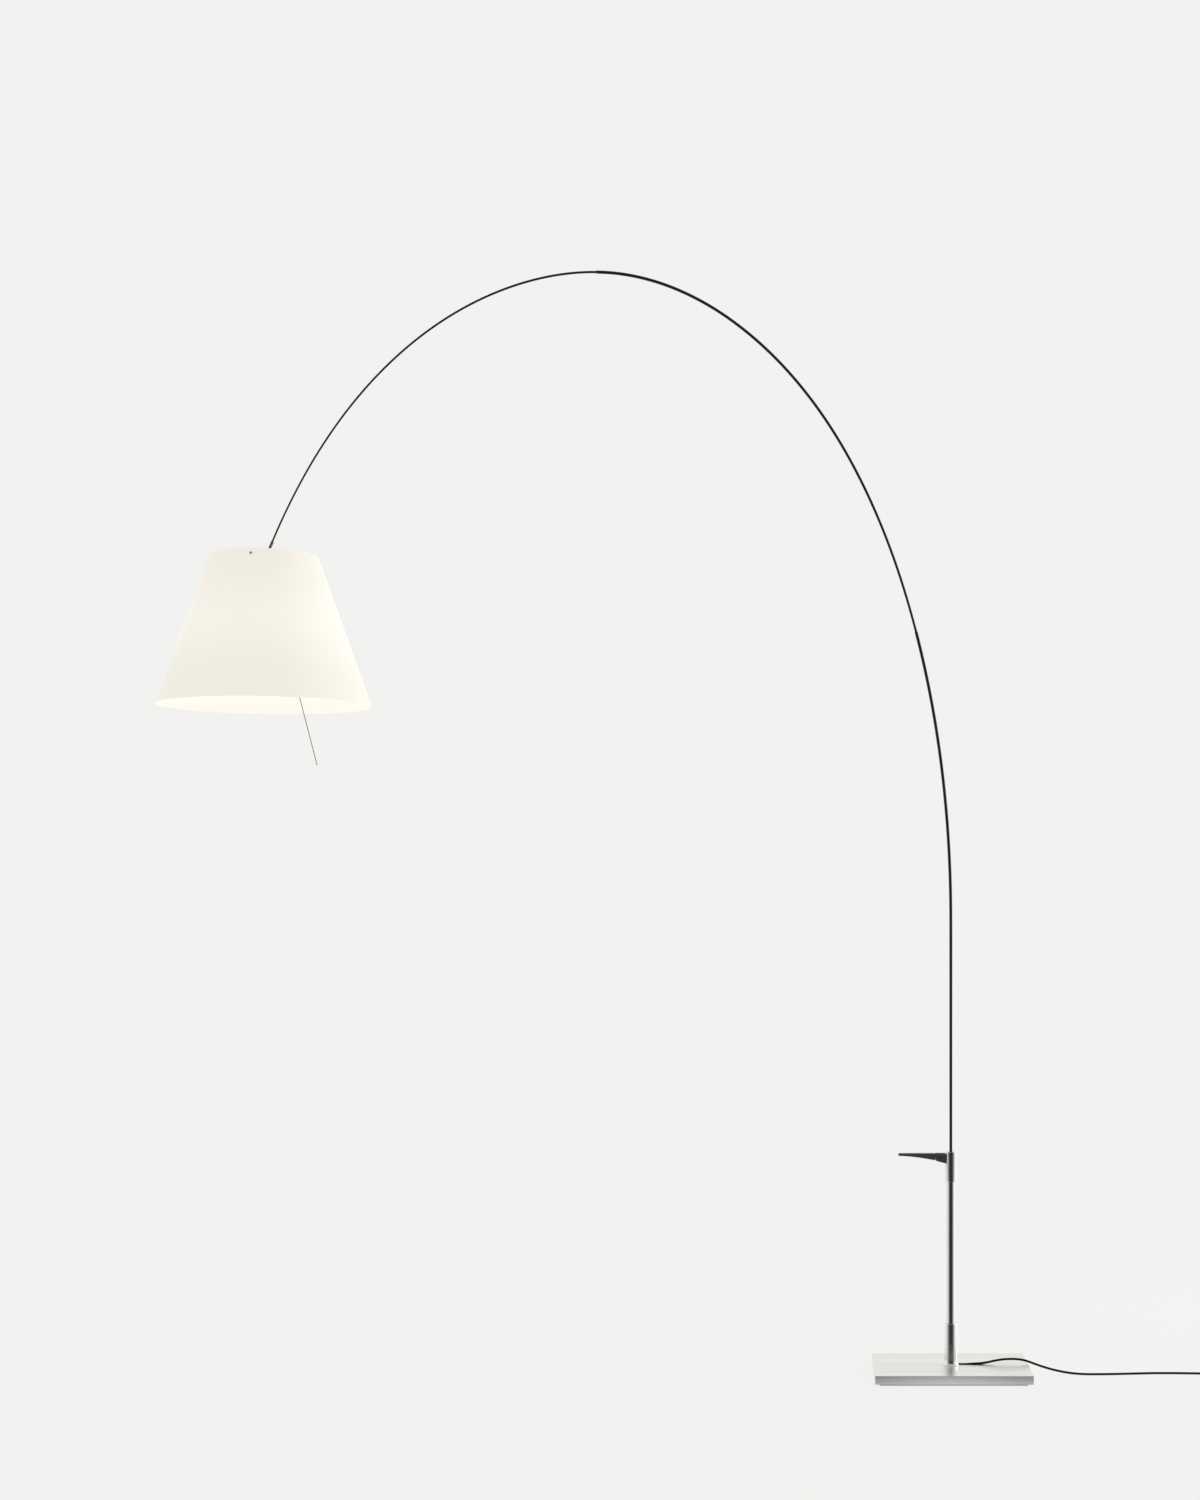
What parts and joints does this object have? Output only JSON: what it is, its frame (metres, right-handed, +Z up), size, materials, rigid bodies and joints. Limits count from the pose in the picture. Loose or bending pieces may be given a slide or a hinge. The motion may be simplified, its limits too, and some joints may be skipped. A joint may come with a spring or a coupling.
{
  "type": "arc floor lamp",
  "caption": "Arc floor lamp with a flat steel foot, short pole with a lever clamp, long bent rod stem and a hung conical shade with a touch rod.",
  "frame": {"origin": "on the floor under the pole's axis, at the middle of the foot's rubber pad", "axes": "+Z up along the pole, -X towards the shade, -Y the front"},
  "size_m": [2.5872, 0.5, 2.6093],
  "materials": {
    "brushed_nickel": "linear brushed nickel-plated steel, satin",
    "satin_aluminium": "turned satin aluminium",
    "graphite": "graphite powder coat, fine texture",
    "dark_rod": "dark graphite lacquer, semi-gloss",
    "steel": "plain turned steel",
    "black_rubber": "matt black rubber",
    "black_plastic": "soft black sheath",
    "white_plastic": "moulded off-white plastic",
    "frosted_shade": "translucent warm-white sheet, silk, lit from inside",
    "nylon": "natural nylon",
    "brass": "turned brass",
    "frosted_glass": "frosted white glass",
    "board_green": "coated circuit board"
  },
  "bodies": {
    "stand": {"base_pad": "black_rubber", "base_plate": "brushed_nickel", "base_socket": "satin_aluminium", "socket_bolt": "steel", "socket_washer": "steel", "socket_grub_screw": "steel", "cable_gland": "black_rubber", "inner_lead": "black_plastic", "slack_coil": "black_plastic", "lower_tube": "satin_aluminium", "clamp_collar": "satin_aluminium", "collar_bush": "nylon", "collar_grub_screw": "steel", "lever_bracket": "graphite", "bracket_screw_front": "steel", "bracket_screw_back": "steel", "lever_pin": "graphite", "lever_pin_clip": "steel", "cord_run": "black_plastic", "cord_coil": "black_plastic", "cord_tie": "black_rubber", "cord_tail": "black_plastic", "plug_body": "black_plastic", "plug_pin_left": "brass", "plug_pin_right": "brass", "plug_relief": "black_rubber"},
    "lever": {"lever_cam": "steel", "lever_handle": "graphite", "lever_roll_pin": "steel"},
    "brake": {"brake_plunger": "steel", "brake_pad": "brass"},
    "glide": {"glide_bush": "nylon"},
    "mast": {"mast_foot_ring": "steel", "mast_top_ring": "steel", "mast_lower": "dark_rod", "mast_middle": "dark_rod", "mast_upper": "dark_rod", "mast_cable": "black_plastic", "tip_ferrule": "satin_aluminium", "head_block": "satin_aluminium", "shade_spoke_front": "steel", "shade_spoke_back": "steel", "spoke_cap_front": "steel", "spoke_cap_back": "steel", "dimmer_cup": "white_plastic", "dimmer_board": "board_green", "dimmer_cover": "white_plastic", "holder_nipple": "steel", "lampholder_shell": "white_plastic", "lampholder_thread": "brass", "bulb_cap": "steel", "bulb_glass": "frosted_glass", "sensor_bush": "white_plastic", "sensor_rod": "steel"},
    "shade": {"shade": "frosted_shade"}
  },
  "joints": [
    {"name": "clamp_lever", "type": "hinge", "parent": "stand", "child": "lever", "pos_m": [-0.024, 0, 0.514], "axis": [0, 1, 0], "range_deg": [0, 75]},
    {"name": "brake_travel", "type": "slide", "parent": "stand", "child": "brake", "axis": [-1, 0, 0], "range_m": [0, 0.00102]},
    {"name": "mast_height", "type": "slide", "parent": "stand", "child": "glide", "axis": [0, 0, 1], "range_m": [-0.09, 0.14]},
    {"name": "mast_turn", "type": "hinge", "parent": "glide", "child": "mast", "pos_m": [0, 0, 0.527], "axis": [0, 0, 1], "range_deg": [-175, 175]},
    {"name": "shade_tilt", "type": "hinge", "parent": "mast", "child": "shade", "pos_m": [-1.62258, 0, 1.92241], "axis": [0, 1, 0], "range_deg": [-20, 20]}
  ],
  "couplings": [
    {"joint": "brake_travel", "follows": "clamp_lever", "m_per_rad": 0.00076}
  ]
}
